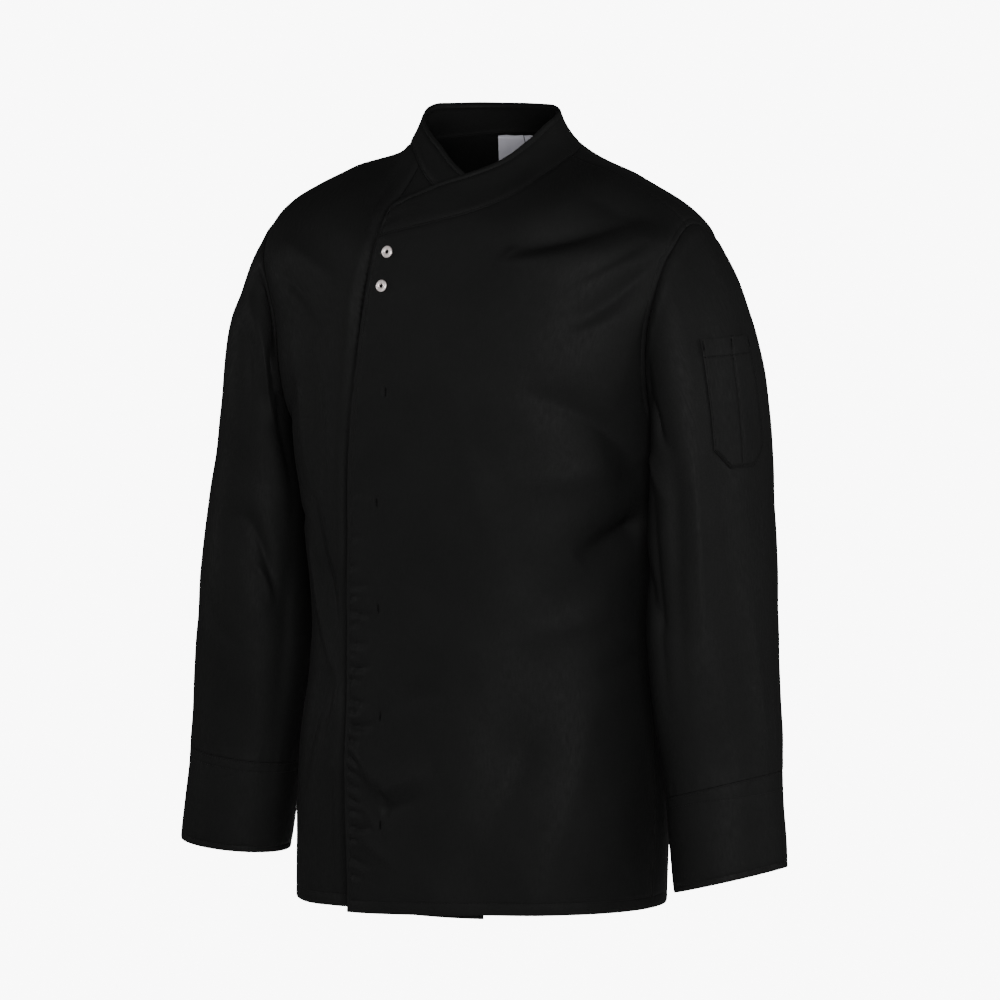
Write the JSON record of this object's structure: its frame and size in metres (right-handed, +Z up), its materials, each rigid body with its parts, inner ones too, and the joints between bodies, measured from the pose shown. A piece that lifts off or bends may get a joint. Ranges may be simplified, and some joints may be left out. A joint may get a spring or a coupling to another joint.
{
  "type": "chef jacket",
  "caption": "Long-sleeved black chef jacket with a stand collar, lapped front, ring snaps, deep cuffs and a sleeve pen pocket, filled out as if worn.",
  "frame": {"origin": "centre of the neck base, where the wearer carries the jacket", "axes": "+Z up the wearer's back to the collar, +X to the wearer's left, -Y out of the front"},
  "size_m": [0.6602, 0.287, 0.7823],
  "materials": {
    "front_left": "matte twill",
    "front_right": "matte twill",
    "back": "matte twill",
    "collar": "matte twill",
    "sleeve_left": "matte twill",
    "sleeve_right": "matte twill",
    "cuff_left": "matte twill",
    "cuff_right": "matte twill",
    "pen_pocket": "matte twill",
    "snap_1": "nickelled, satin",
    "snap_2": "nickelled, satin",
    "label": "satin ribbon",
    "label_size": "satin ribbon"
  },
  "bodies": {
    "root": {"front_left": "front_left", "front_right": "front_right", "back": "back", "collar": "collar", "sleeve_left": "sleeve_left", "sleeve_right": "sleeve_right", "cuff_left": "cuff_left", "cuff_right": "cuff_right", "pen_pocket": "pen_pocket", "snap_1": "snap_1", "snap_2": "snap_2", "label": "label", "label_size": "label_size"}
  },
  "joints": []
}
